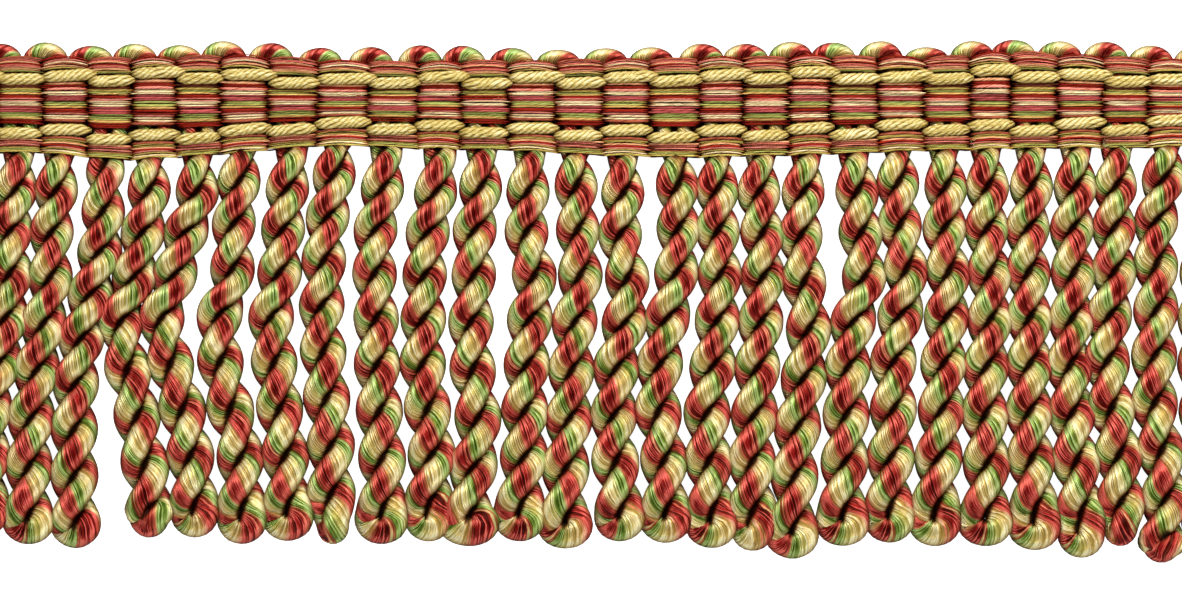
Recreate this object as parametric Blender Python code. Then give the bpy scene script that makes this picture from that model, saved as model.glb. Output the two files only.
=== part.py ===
# A cut length of bullion fringe, lying flat with its face up.
# X runs along the trimming, +Y points from the strands' loops to the scalloped edge, Z points up.
# The origin is the middle of the heading's flat back.

from collections import namedtuple
from math import cos, hypot, pi, sin

import bmesh
import bpy

MM = 0.001
GAP = 0.3

# Heading: a woven band of thick ribs
RIB_CREST = 3.6
RIB_VALLEY = 2.7
BAND_EDGE_HEIGHT = 2.0
BAND_SHOULDER = 1.2
RIB_PROFILE = ((0.0, 0.0), (0.2, 0.85), (0.5, 1.0), (0.8, 0.85))

# Gold rope cords: one float lies high and the next lies low, from rib to rib
CORD_WIDTH = 1.8
CORD_HEIGHT = 1.1
CORD_DIVE = 0.55
CORD_TOP_SHARE = 0.5
UPPER_CORD_BELOW_TOP = (2.3, 3.1)
LOWER_CORD_ABOVE_FOOT = (3.7, 2.9)

# Scallops: the turns of the weft yarn above the heading
SCALLOP_THICKNESS = 3.0
SCALLOP_CUSP = 0.5
SCALLOP_THIN_SHARE = 0.55
SCALLOP_FLAT_SHARE = 0.6
SCALLOP_PROFILE = ((0.0, 0.0), (0.1, 0.6), (0.3, 0.93), (0.5, 1.0), (0.7, 0.93), (0.9, 0.6))

# Skirt: yarn folded and twisted on itself, fused at its roots into a strip
STRIP_WIDTH = 1.0
STRIP_HEIGHT = 2.64
ROOT_SHARE = 0.86
ROPE_RADIUS = 3.15
ROPE_GROWTH = 0.25
ROPE_WIDE = 0.9
ROPE_THIN = 0.42
RINGS_PER_HALF_TURN = 5
GROOVE_DROPS = (13.0, 19.7, 25.9, 32.5, 39.2, 45.9, 53.0)
LOOP_LENGTH = 5.9
LOOP_THICKNESS = 3.5
LOOP_PROFILE = ((0.2, 0.9, 1.0), (0.5, 1.0, 1.0), (0.76, 0.86, 0.95), (0.93, 0.6, 0.8), (1.0, 0.25, 0.45))
ROUTE_DROPS = (8.4, 20.6, 32.8, 45.0, 57.2)

LEFT_END = -98.4
LEFT_TOP = 6.9
LEFT_FOOT = -7.0

# One row for each rib of the heading and the strand below it, in mm.
# edge, top, foot: the rib's right side, and the band's two edges there
# scallop: height of the yarn's turn over that side
# d8 to d57: how far the strand lies right of its rib's middle, at each of ROUTE_DROPS
# tip, drop: the same at the loop's foot, and how far down that is
# loop: half the loop's width
Rib = namedtuple("Rib", "edge top foot scallop d8 d21 d33 d45 d57 tip drop loop")
RIBS = [Rib(*row) for row in (
    (-91.6, 6.9, -7.2, 2.4, -0.3, -1.2, -2.1, -4.2, -5.1, -5.4, 66.4, 3.8),
    (-84.7, 6.9, -7.2, 2.6, -0.2, -1.4, -2.1, -4.5, -5.1, -5.4, 65.5, 3.6),
    (-77.8, 6.9, -7.9, 2.1, -1.0, -2.1, -3.1, -4.8, -5.4, -5.6, 66.8, 3.9),
    (-71.1, 6.9, -8.3, 2.4, -0.6, -1.2, -3.8, -5.3, -5.3, -5.0, 67.4, 3.7),
    (-64.3, 7.0, -7.9, 2.1, -0.8, -1.9, -5.0, -2.8, -0.8, -0.8, 65.8, 3.0),
    (-57.6, 7.2, -7.4, 2.5, -0.3, -2.3, -5.6, -2.7, -0.8, -0.5, 65.8, 3.5),
    (-50.4, 7.0, -6.8, 2.4, -0.4, -1.8, -3.9, -2.4, -0.4, -0.4, 66.8, 3.6),
    (-42.9, 6.5, -6.2, 2.2, -0.2, -1.6, -3.3, -2.1, -0.8, -0.8, 66.3, 3.8),
    (-35.2, 6.4, -6.2, 2.4, -1.0, -2.8, -3.3, -2.4, -1.8, -1.3, 66.8, 2.4),
    (-27.7, 6.2, -6.6, 2.9, -1.0, -2.8, -2.5, -2.1, -1.4, -2.1, 66.8, 3.9),
    (-21.1, 6.3, -6.7, 2.7, 0.1, -1.9, -2.4, -1.9, -1.4, -1.8, 66.4, 3.5),
    (-13.8, 6.4, -6.8, 2.3, -0.5, -1.7, -2.1, -1.2, -2.3, -3.0, 67.1, 4.2),
    (-6.7, 6.4, -7.2, 2.0, -0.4, -0.8, -0.4, -1.1, -1.6, -2.2, 66.4, 3.8),
    (0.5, 6.6, -7.6, 2.0, -0.7, -0.2, -0.7, -1.4, -2.2, -2.1, 67.5, 4.1),
    (7.5, 6.7, -7.8, 2.1, -0.5, -0.9, -0.2, -1.7, -1.2, -0.9, 66.4, 3.7),
    (15.1, 6.9, -7.9, 2.4, 0.2, 0.6, -1.1, -2.6, -1.4, -1.4, 66.6, 3.8),
    (21.8, 7.0, -7.7, 2.3, -0.6, -0.5, -0.6, -2.1, -1.7, -1.4, 67.4, 3.8),
    (28.7, 7.1, -7.6, 2.5, -0.8, -0.5, -0.8, -1.6, -2.1, -2.1, 67.8, 3.2),
    (35.1, 7.2, -7.4, 2.3, -0.5, -1.4, -0.2, -1.4, -2.4, -2.9, 69.0, 4.2),
    (42.3, 7.4, -7.1, 2.6, -0.1, 1.0, -0.2, -1.3, -1.8, -1.8, 67.1, 3.9),
    (49.3, 7.4, -6.9, 1.8, -0.5, 0.0, -0.3, -1.2, -1.8, -1.8, 66.6, 3.6),
    (56.3, 7.6, -6.8, 2.4, -0.5, -0.5, -0.2, -0.9, -1.7, -2.1, 67.1, 3.8),
    (62.5, 7.9, -6.6, 2.2, -0.7, -0.7, -0.2, -1.0, -0.7, -1.1, 67.1, 4.0),
    (69.5, 7.4, -6.5, 2.3, -0.5, -1.2, -0.8, -0.8, -0.2, 0.0, 67.7, 3.8),
    (76.5, 7.1, -6.5, 2.5, -0.6, -1.4, -1.4, -1.4, -0.3, 0.2, 68.9, 3.3),
    (83.4, 6.7, -6.4, 2.3, -1.4, -1.9, -2.7, -2.5, -1.0, -1.0, 67.1, 2.4),
    (90.3, 6.5, -6.2, 2.5, -0.7, -2.7, -2.5, -2.7, -1.1, -1.9, 69.6, 2.8),
    (97.1, 6.5, -6.3, 0.0, -1.4, -2.0, -2.5, -2.3, -1.5, -1.3, 67.2, 3.7),
)]

EDGES = [LEFT_END] + [rib.edge for rib in RIBS]
TOPS = [LEFT_TOP] + [rib.top for rib in RIBS]
FEET = [LEFT_FOOT] + [rib.foot for rib in RIBS]


def mix(first, second, share):
    return first + (second - first) * share


def at_rib(values, rib, share):
    """Value of an edge list at a share of the way across a rib."""
    return mix(values[rib], values[rib + 1], share)


def smooth_route(places, values, place):
    """Curve through values at rising places, with its slopes taken from the neighbours."""
    last = len(places) - 1
    k = 0
    while k < last - 1 and place > places[k + 1]:
        k += 1
    span = places[k + 1] - places[k]
    share = (place - places[k]) / span
    before = max(k - 1, 0)
    after = min(k + 2, last)
    slope_in = (values[k + 1] - values[before]) / (places[k + 1] - places[before]) * span
    slope_out = (values[after] - values[k]) / (places[after] - places[k]) * span
    square = share * share
    cube = square * share
    return (
        (2 * cube - 3 * square + 1) * values[k]
        + (cube - 2 * square + share) * slope_in
        + (3 * square - 2 * cube) * values[k + 1]
        + (cube - square) * slope_out
    )


def material(name, colour, roughness):
    made = bpy.data.materials.new(name)
    made.use_nodes = True
    shader = made.node_tree.nodes["Principled BSDF"]
    shader.inputs["Base Color"].default_value = (*colour, 1.0)
    shader.inputs["Roughness"].default_value = roughness
    shader.inputs["Metallic"].default_value = 0.0
    return made


def finish(name, mesh_data, colour, roughness, crease):
    """Turn a bmesh into a named object with its own material and smooth round faces."""
    bmesh.ops.recalc_face_normals(mesh_data, faces=mesh_data.faces)
    mesh = bpy.data.meshes.new(name)
    mesh_data.to_mesh(mesh)
    mesh_data.free()
    mesh.shade_smooth()
    mesh.set_sharp_from_angle(angle=crease)
    mesh.materials.append(material(name, colour, roughness))
    made = bpy.data.objects.new(name, mesh)
    bpy.context.scene.collection.objects.link(made)
    return made


def bar(name, sections, colour, roughness, crease=0.7):
    """A closed bar through cross sections of equally many points, in mm."""
    mesh_data = bmesh.new()
    rings = []
    for section in sections:
        rings.append([mesh_data.verts.new((x * MM, y * MM, z * MM)) for x, y, z in section])
    for first, second in zip(rings, rings[1:]):
        for k, corner in enumerate(first):
            following = (k + 1) % len(first)
            mesh_data.faces.new((corner, first[following], second[following]))
            mesh_data.faces.new((corner, second[following], second[k]))
    mesh_data.faces.new(rings[0])
    mesh_data.faces.new(rings[-1])
    return finish(name, mesh_data, colour, roughness, crease)


def rib_stations():
    """Rib, share of the way across it, and height of the heading's face at each cross section."""
    stations = []
    for rib in range(len(RIBS)):
        for share, rise in RIB_PROFILE:
            stations.append((rib, share, mix(RIB_VALLEY, RIB_CREST, rise)))
    stations.append((len(RIBS) - 1, 1.0, RIB_VALLEY))
    return stations


def heading():
    """The woven band: flat behind, ribbed in front, with thinner edges."""
    sections = []
    for rib, share, height in rib_stations():
        x = at_rib(EDGES, rib, share)
        top = at_rib(TOPS, rib, share)
        foot = at_rib(FEET, rib, share)
        sections.append((
            (x, foot, 0.0),
            (x, top, 0.0),
            (x, top, BAND_EDGE_HEIGHT),
            (x, top - BAND_SHOULDER, height),
            (x, foot + BAND_SHOULDER, height),
            (x, foot, BAND_EDGE_HEIGHT),
        ))
    return bar("heading", sections, (0.55, 0.27, 0.18), 0.7, crease=0.9)


def cord_row(name, edges, offsets, direction):
    """A row of rope cord floats, one on each rib, that lie high and low by turns and dive between ribs."""
    middle = (offsets[0] + offsets[1]) / 2
    sections = []
    for rib, share, height in rib_stations():
        x = at_rib(EDGES, rib, share)
        between = share in (0.0, 1.0)
        offset = middle if between else offsets[rib % 2]
        y = at_rib(edges, rib, share) + direction * offset
        rise = CORD_DIVE if between else CORD_HEIGHT
        low = height + GAP
        half = CORD_WIDTH / 2
        sections.append((
            (x, y - half, low),
            (x, y + half, low),
            (x, y + half * CORD_TOP_SHARE, low + rise),
            (x, y - half * CORD_TOP_SHARE, low + rise),
        ))
    return bar(name, sections, (0.72, 0.6, 0.28), 0.5)


def scallops():
    """The weft yarn's turns: a row of half-round bumps with a cusp over the middle of each rib."""
    sections = []
    last = len(RIBS) - 1
    for rib in range(last):
        for place, rise in SCALLOP_PROFILE:
            share = place + 0.5
            host = rib if share < 1.0 else rib + 1
            inside = share if share < 1.0 else share - 1.0
            sections.append(scallop_section(host, inside, RIBS[rib].scallop, rise))
    sections.append(scallop_section(last, 0.5, RIBS[last].scallop, 0.0))
    return bar("scallops", sections, (0.62, 0.42, 0.25), 0.6, crease=1.1)


def scallop_section(rib, share, height, rise):
    """Rounded section of the yarn's turn, thin and low at a cusp."""
    x = at_rib(EDGES, rib, share)
    low = at_rib(TOPS, rib, share) + GAP
    reach = max(height * rise - GAP, SCALLOP_CUSP)
    middle = SCALLOP_THICKNESS / 2
    half = middle * mix(SCALLOP_THIN_SHARE, 1.0, rise)
    return (
        (x, low, middle - half),
        (x, low + reach * SCALLOP_FLAT_SHARE, middle - half),
        (x, low + reach, middle - half / 3),
        (x, low + reach, middle + half / 3),
        (x, low + reach * SCALLOP_FLAT_SHARE, middle + half),
        (x, low, middle + half),
    )


def strand_x(rib, drop):
    """Where a strand's middle lies along the trimming, at a drop below the origin."""
    row = RIBS[rib]
    middle = at_rib(EDGES, rib, 0.5)
    places = (*ROUTE_DROPS, row.drop)
    offsets = (row.d8, row.d21, row.d33, row.d45, row.d57, row.tip)
    return middle + smooth_route(places, offsets, min(max(drop, places[0]), places[-1]))


def free_half_width(rib, drop):
    """Half of the room between a strand and its nearer neighbour, less half a gap."""
    x = strand_x(rib, drop)
    slope = (strand_x(rib, drop + 2.0) - strand_x(rib, drop - 2.0)) / 4.0
    lean = 1.0 / hypot(1.0, slope)
    room = [abs(strand_x(other, drop) - x) for other in (rib - 1, rib + 1) if 0 <= other < len(RIBS)]
    return min(room) / 2 * lean - GAP / 2


def strand_rings(rib, root_drop):
    """Cross sections of one strand below its root: the twisted rope, then the loop lying nearly flat."""
    row = RIBS[rib]
    eye_drop = row.drop - LOOP_LENGTH
    grooves = (root_drop, *GROOVE_DROPS, eye_drop)
    rings = []
    for turn in range(len(grooves) - 1):
        for step in range(1, RINGS_PER_HALF_TURN + 1):
            share = step / RINGS_PER_HALF_TURN
            drop = mix(grooves[turn], grooves[turn + 1], share)
            radius = ROPE_RADIUS + ROPE_GROWTH * drop / row.drop
            radius = min(radius, free_half_width(rib, drop))
            angle = (turn + share) * pi
            wide = radius * ROPE_WIDE
            thin = radius * ROPE_THIN
            level = hypot(wide, thin)
            if turn == 0 and share < 0.5:
                level = wide * sin(angle) + thin * cos(angle)
            rings.append(ring_points(strand_x(rib, drop), -drop, level, wide, thin, angle))
    level = ROPE_RADIUS
    for place, width_share, thickness_share in LOOP_PROFILE:
        drop = eye_drop + LOOP_LENGTH * place
        wide = min(row.loop, free_half_width(rib, drop)) * width_share
        thin = LOOP_THICKNESS / 2 * thickness_share
        height = mix(level, LOOP_THICKNESS / 2, min(place * 1.5, 1.0))
        rings.append(ring_points(strand_x(rib, drop), -drop, height, wide, thin, 0.0))
    return rings


def ring_points(x, y, z, wide, thin, angle):
    """Four corners of a flat-sided section, turned about the strand's length."""
    corners = ((wide, thin), (-wide, thin), (-wide, -thin), (wide, -thin))
    return [(x + p * cos(angle) - q * sin(angle), y, z + p * sin(angle) + q * cos(angle)) for p, q in corners]


def skirt():
    """All strands, grown out of the front of one strip along the heading's lower edge."""
    mesh_data = bmesh.new()

    def point(place):
        return mesh_data.verts.new([value * MM for value in place])

    def strip_section(rib, share):
        x = at_rib(EDGES, rib, share)
        back = at_rib(FEET, rib, share) - GAP
        front = back - STRIP_WIDTH
        places = ((x, front, STRIP_HEIGHT), (x, front, 0.0), (x, back, 0.0), (x, back, STRIP_HEIGHT))
        return [point(place) for place in places]

    margin = (1.0 - ROOT_SHARE) / 2
    sections = [strip_section(0, 0.0)]
    for rib in range(len(RIBS)):
        sections.append(strip_section(rib, margin))
        sections.append(strip_section(rib, 1.0 - margin))
    sections.append(strip_section(len(RIBS) - 1, 1.0))
    mesh_data.faces.new(sections[0])
    mesh_data.faces.new(sections[-1])
    for number, (left, right) in enumerate(zip(sections, sections[1:])):
        is_root = number % 2 == 1
        for k in range(4):
            if is_root and k == 0:
                continue
            following = (k + 1) % 4
            mesh_data.faces.new((left[k], left[following], right[following], right[k]))
        if is_root:
            root = [right[0], left[0], left[1], right[1]]
            rib = number // 2
            add_strand(mesh_data, point, root, strand_rings(rib, -at_rib(FEET, rib, 0.5) + GAP + STRIP_WIDTH))
    return finish("skirt", mesh_data, (0.6, 0.34, 0.2), 0.55, crease=1.0)


def add_strand(mesh_data, point, root, rings):
    """Skin a strand from its four root corners to its closed foot."""
    ring = root
    for places in rings:
        following = [point(place) for place in places]
        for k in range(4):
            after = (k + 1) % 4
            mesh_data.faces.new((ring[k], ring[after], following[after]))
            mesh_data.faces.new((ring[k], following[after], following[k]))
        ring = following
    mesh_data.faces.new(ring)


for old in list(bpy.data.objects):
    bpy.data.objects.remove(old, do_unlink=True)

heading()
cord_row("upper_cords", TOPS, UPPER_CORD_BELOW_TOP, -1)
cord_row("lower_cords", FEET, LOWER_CORD_ABOVE_FOOT, 1)
scallops()
skirt()
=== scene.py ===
# The looks of a cut length of bullion fringe that lies flat with its face up.
# X runs along the trimming, +Y points from the loops to the scallops, Z points up. Sizes are in mm.

from collections import namedtuple
from math import cos, pi, sin

import bpy
import numpy as np
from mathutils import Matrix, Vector


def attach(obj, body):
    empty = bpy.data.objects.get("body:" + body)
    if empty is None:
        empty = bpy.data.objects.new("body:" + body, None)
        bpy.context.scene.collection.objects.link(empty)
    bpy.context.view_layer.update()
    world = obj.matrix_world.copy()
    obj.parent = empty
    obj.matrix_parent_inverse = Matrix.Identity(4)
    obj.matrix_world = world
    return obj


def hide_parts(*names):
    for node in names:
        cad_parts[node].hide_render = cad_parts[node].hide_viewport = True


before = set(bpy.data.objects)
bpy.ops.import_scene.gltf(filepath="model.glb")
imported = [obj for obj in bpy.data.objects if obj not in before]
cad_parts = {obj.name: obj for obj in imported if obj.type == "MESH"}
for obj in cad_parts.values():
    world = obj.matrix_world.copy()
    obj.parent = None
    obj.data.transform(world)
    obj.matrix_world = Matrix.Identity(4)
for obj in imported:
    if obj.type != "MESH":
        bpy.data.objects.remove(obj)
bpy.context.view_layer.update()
mm = 0.001

# Each table has one row for each column of the heading and the strand below it, from left to right.
# edge, top, foot: the column's right side, and the band's two edges there
# upper, lower: where the two rows of cord lie in the column, above the origin
# scallop: height of the yarn's turn over the column's right side
columnRow = namedtuple("columnRow", "edge top foot upper lower scallop")
columnRows = [columnRow(*row) for row in (
    (-91.6, 6.9, -7.2, 4.3, -3.8, 2.4), (-84.7, 6.9, -7.2, 4.0, -4.2, 2.6),
    (-77.8, 6.9, -7.9, 4.5, -3.7, 2.1), (-71.1, 6.9, -8.3, 3.7, -5.2, 2.4),
    (-64.3, 7.0, -7.9, 5.0, -4.5, 2.1), (-57.6, 7.2, -7.4, 4.1, -5.0, 2.5),
    (-50.4, 7.0, -6.8, 4.7, -3.7, 2.4), (-42.9, 6.5, -6.2, 3.4, -3.7, 2.2),
    (-35.2, 6.4, -6.2, 4.0, -2.6, 2.4), (-27.7, 6.2, -6.6, 3.4, -3.7, 2.9),
    (-21.1, 6.3, -6.7, 4.3, -3.1, 2.7), (-13.8, 6.4, -6.8, 3.3, -4.2, 2.3),
    (-6.7, 6.4, -7.2, 4.3, -3.5, 2.0), (0.5, 6.6, -7.6, 3.4, -4.6, 2.0),
    (7.5, 6.7, -7.8, 4.3, -3.8, 2.1), (15.1, 6.9, -7.9, 3.7, -4.9, 2.4),
    (21.8, 7.0, -7.7, 4.6, -3.8, 2.3), (28.7, 7.1, -7.6, 4.0, -4.6, 2.5),
    (35.1, 7.2, -7.4, 5.1, -3.5, 2.3), (42.3, 7.1, -7.1, 4.0, -4.4, 2.6),
    (49.3, 7.0, -6.9, 4.3, -2.9, 1.8), (56.3, 7.3, -6.8, 4.0, -3.8, 2.4),
    (62.5, 7.7, -6.6, 5.4, -3.0, 2.2), (69.5, 7.4, -6.5, 4.3, -3.9, 2.3),
    (76.5, 7.1, -6.5, 4.7, -2.7, 2.5), (83.4, 6.7, -6.4, 3.6, -3.8, 2.3),
    (90.3, 6.5, -6.2, 3.9, -2.3, 2.5), (97.1, 6.5, -6.3, 3.7, -3.5, 0.0),
)]
# d8 to d57: how far the strand lies right of its column's middle, at that many mm below the origin
# tip, drop: the same at the loop's foot, and how far down that is
# first, eye: where the plies first lie side by side below the heading, and the loop's eye
# loop: half of the loop's width as seen from above
strandRow = namedtuple("strandRow", "d8 d15 d21 d27 d33 d39 d45 d51 d57 tip drop first eye loop")
strandRows = [strandRow(*row) for row in (
    (-0.3, -0.6, -1.2, -1.5, -2.1, -3.0, -4.2, -4.8, -5.1, -5.4, 66.4, 13.0, 61.0, 3.8),
    (-0.2, -0.7, -1.4, -1.4, -2.1, -3.0, -4.5, -4.8, -5.1, -5.4, 65.5, 13.3, 60.4, 3.6),
    (-1.0, -1.4, -2.1, -2.2, -3.1, -4.0, -4.8, -5.3, -5.4, -5.6, 66.8, 13.3, 62.5, 3.9),
    (-0.6, -0.9, -1.2, -2.4, -3.8, -4.7, -5.3, -5.3, -5.3, -5.0, 67.4, 16.5, 63.5, 3.7),
    (-0.8, -0.8, -1.9, -3.1, -5.0, -4.2, -2.8, -2.1, -0.8, -0.8, 65.8, 13.3, 62.0, 3.0),
    (-0.3, -0.3, -2.3, -3.8, -5.6, -4.3, -2.7, -1.5, -0.8, -0.5, 65.8, 13.4, 60.5, 3.5),
    (-0.4, -1.1, -1.8, -1.9, -3.9, -3.6, -2.4, -0.8, -0.4, -0.4, 66.8, 12.0, 61.0, 3.6),
    (-0.2, -1.0, -1.6, -2.1, -3.3, -2.8, -2.1, -1.3, -0.8, -0.8, 66.3, 13.0, 60.5, 3.8),
    (-1.0, -1.8, -2.8, -2.8, -3.3, -2.8, -2.4, -1.8, -1.8, -1.3, 66.8, 11.0, 59.1, 2.4),
    (-1.0, -1.8, -2.8, -2.7, -2.5, -2.4, -2.1, -1.8, -1.4, -2.1, 66.8, 13.0, 61.0, 3.9),
    (0.1, -0.7, -1.9, -2.2, -2.4, -2.5, -1.9, -1.1, -1.4, -1.8, 66.4, 13.6, 60.2, 3.5),
    (-0.5, -0.8, -1.7, -1.7, -2.1, -2.0, -1.2, -1.1, -2.1, -2.7, 67.1, 12.8, 62.5, 4.7),
    (-0.4, -0.7, -0.8, 0.4, -0.4, -0.8, -1.1, -1.1, -1.6, -2.2, 66.4, 13.4, 60.6, 3.8),
    (-0.7, -0.4, -0.2, 0.1, -0.7, -1.1, -1.4, -1.8, -2.2, -2.1, 67.5, 12.6, 62.8, 4.1),
    (-0.5, -0.5, -0.9, 0.2, -0.2, -1.4, -1.7, -2.0, -1.2, -0.9, 66.4, 13.7, 61.4, 3.7),
    (0.2, 0.6, 0.6, 0.2, -1.1, -2.1, -2.6, -1.8, -1.4, -1.4, 66.6, 12.5, 61.3, 3.8),
    (-0.6, -0.6, -0.5, -0.2, -0.6, -1.2, -2.1, -2.1, -1.7, -1.4, 67.4, 13.0, 61.3, 3.8),
    (-0.8, -1.1, -0.5, -0.5, -0.8, -1.3, -1.6, -2.1, -2.1, -2.1, 67.8, 13.4, 61.4, 3.2),
    (-0.5, -1.1, -1.4, -0.9, -0.2, -0.6, -1.4, -2.1, -2.4, -2.9, 69.0, 13.4, 64.0, 3.9),
    (-0.1, 0.5, 1.0, 1.4, -0.2, -1.0, -1.3, -1.3, -1.8, -1.8, 67.1, 13.3, 61.4, 3.9),
    (-0.5, -0.5, 0.0, 0.8, -0.3, -1.2, -1.2, -1.5, -1.8, -1.8, 66.6, 12.0, 60.7, 3.6),
    (-0.5, -0.2, -0.5, 0.2, -0.2, -0.6, -0.9, -1.2, -1.7, -2.1, 67.1, 12.5, 60.7, 3.8),
    (-0.7, -0.5, -0.7, -0.2, -0.2, -0.7, -1.0, -0.7, -0.7, -1.1, 67.1, 12.5, 61.7, 4.0),
    (-0.5, -0.5, -1.2, -0.9, -0.8, -0.8, -0.8, -0.8, -0.2, 0.0, 67.7, 12.5, 61.0, 3.8),
    (-0.6, -0.9, -1.4, -1.1, -1.4, -1.7, -1.4, -1.1, -0.3, 0.2, 68.9, 12.5, 61.3, 3.3),
    (-1.4, -1.8, -1.9, -1.9, -2.7, -3.0, -2.5, -1.4, -1.0, -1.0, 67.1, 12.5, 60.2, 2.4),
    (-0.7, -1.8, -2.7, -2.2, -2.5, -2.7, -2.7, -1.9, -1.1, -1.9, 69.6, 11.3, 67.0, 2.8),
    (-1.4, -1.6, -2.0, -2.3, -2.5, -2.5, -2.3, -1.9, -1.5, -1.3, 67.2, 12.5, 61.0, 3.7),
)]
# where each yarn is in its run of colours, in hundredths: cream, then red from 38, then green from 78
# fourth to eighth: on the ply that crosses in front there, counted from the top
# loop: at the foot of the loop
# turn: on the scallop over the column's right side
bandRow = namedtuple("bandRow", "fourth fifth seventh eighth loop turn")
bandRows = [bandRow(*(share / 100 for share in row)) for row in (
    (30, 20, 65, 54, 29, 60), (5, 28, 45, 29, 4, 15), (70, 68, 64, 48, 62, 90), (0, 12, 61, 68, 99, 20),
    (18, 92, 16, 52, 42, 20), (88, 76, 99, 17, 0, 27), (38, 28, 36, 46, 20, 65), (90, 62, 12, 39, 17, 75),
    (9, 58, 62, 50, 60, 60), (33, 24, 32, 56, 37, 65), (13, 42, 61, 36, 93, 85), (32, 8, 97, 99, 14, 95),
    (36, 22, 40, 67, 40, 35), (70, 70, 76, 78, 85, 35), (4, 45, 67, 2, 68, 40), (98, 78, 96, 58, 97, 58),
    (15, 62, 72, 12, 80, 60), (39, 45, 63, 54, 5, 37), (2, 45, 58, 60, 64, 95), (95, 66, 69, 9, 78, 38),
    (20, 3, 42, 70, 58, 40), (20, 79, 91, 47, 0, 38), (76, 47, 58, 20, 62, 93), (38, 44, 67, 38, 93, 25),
    (62, 65, 91, 89, 88, 58), (74, 25, 50, 9, 28, 48), (62, 78, 98, 54, 74, 70), (40, 30, 65, 64, 39, 0),
)]
stations = (8.4, 14.5, 20.6, 26.7, 32.8, 38.9, 45.0, 51.1, 57.2)
columnCount = len(columnRows)
edges = np.array([-98.4] + [row.edge for row in columnRows])
tops = np.array([6.9] + [row.top for row in columnRows])
feet = np.array([-7.0] + [row.foot for row in columnRows])
middles = (edges[1:] + edges[:-1]) / 2


def dye(red, green, blue):
    # a colour as the eye reads it, 0 to 255, made linear
    parts = np.array([red, green, blue]) / 255.0
    linear = np.where(parts < 0.04045, parts / 12.92, ((parts + 0.055) / 1.055) ** 2.4)
    return tuple(linear.tolist())


def dyes(*stops):
    # a run of dye: places from 0 to 1, each with its colour
    return tuple((place, dye(*colour)) for place, *colour in stops)


def ease(value):
    value = np.clip(value, 0.0, 1.0)
    return value * value * (3 - 2 * value)


def mix(first, second, share):
    return first + (second - first) * share


def smoothLine(places, values, at):
    # a curve through the values, with each slope taken from the two neighbours
    places = np.asarray(places, float)
    values = np.asarray(values, float)
    slopes = np.gradient(values, places)
    at = np.clip(at, places[0], places[-1])
    k = np.clip(np.searchsorted(places, at) - 1, 0, len(places) - 2)
    span = places[k + 1] - places[k]
    share = (at - places[k]) / span
    square = share * share
    cube = square * share
    return (
        (2 * cube - 3 * square + 1) * values[k]
        + (cube - 2 * square + share) * span * slopes[k]
        + (3 * square - 2 * cube) * values[k + 1]
        + (cube - square) * span * slopes[k + 1]
    )


# Geometry Nodes: small helpers

def newTree(name, kind, inputs, outputs):
    tree = bpy.data.node_groups.new(name, kind)
    for way, sockets in (("INPUT", inputs), ("OUTPUT", outputs)):
        for label, value in sockets:
            tree.interface.new_socket(label, in_out=way, socket_type="NodeSocket" + value)
    return tree, tree.nodes.new("NodeGroupInput").outputs


def newModifierTree(name, inputs):
    geometry = ("Geometry", "Geometry")
    tree, given = newTree(name, "GeometryNodeTree", (geometry, *inputs), (geometry,))
    tree.is_modifier = True
    return tree, given


def giveInputs(tree, node, values):
    for key, value in values.items():
        if isinstance(value, bpy.types.NodeSocket):
            tree.links.new(value, node.inputs[key])
        else:
            node.inputs[key].default_value = value


def put(tree, kind, values=None, **settings):
    node = tree.nodes.new(kind)
    for key, value in settings.items():
        setattr(node, key, value)
    giveInputs(tree, node, values or {})
    return node


def output(tree, kind, values=None, **settings):
    return put(tree, kind, values, **settings).outputs[0]


def calc(tree, operation, *values):
    return output(tree, "ShaderNodeMath", dict(enumerate(values)), operation=operation)


def aroundZero(tree, value, amount):
    # a value from 0 to 1 becomes as much below zero as above it
    return calc(tree, "MULTIPLY", calc(tree, "SUBTRACT", value, 0.5), amount)


def noise(tree, place, scale, detail):
    return output(tree, "ShaderNodeTexNoise", {"Vector": place, "Scale": scale, "Detail": detail})


def scaled(tree, vector, factor):
    return output(tree, "ShaderNodeVectorMath", {0: vector, "Scale": factor}, operation="SCALE")


def added(tree, first, second):
    return output(tree, "ShaderNodeVectorMath", {0: first, 1: second}, operation="ADD")


def named(tree, name, kind="FLOAT"):
    return output(tree, "GeometryNodeInputNamedAttribute", {"Name": name}, data_type=kind)


def stored(tree, geometry, name, value, kind="FLOAT", domain="POINT"):
    values = {"Geometry": geometry, "Name": name, "Value": value}
    return output(tree, "GeometryNodeStoreNamedAttribute", values, data_type=kind, domain=domain)


def position(tree):
    return output(tree, "GeometryNodeInputPosition")


def lineOf(tree, geometry, stepLength=None):
    # the piece's edges as curves, with each curve's own up kept near the world's
    line = output(tree, "GeometryNodeMeshToCurve", {"Mesh": geometry})
    if stepLength is not None:
        steps = {"Curve": line, "Length": stepLength}
        line = output(tree, "GeometryNodeResampleCurve", steps, mode="LENGTH")
    return upright(tree, line)


def upright(tree, line):
    return output(tree, "GeometryNodeSetCurveNormal", {"Curve": line}, mode="Z_UP")


def moved(tree, geometry, offset):
    return output(tree, "GeometryNodeSetPosition", {"Geometry": geometry, "Offset": offset})


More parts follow.
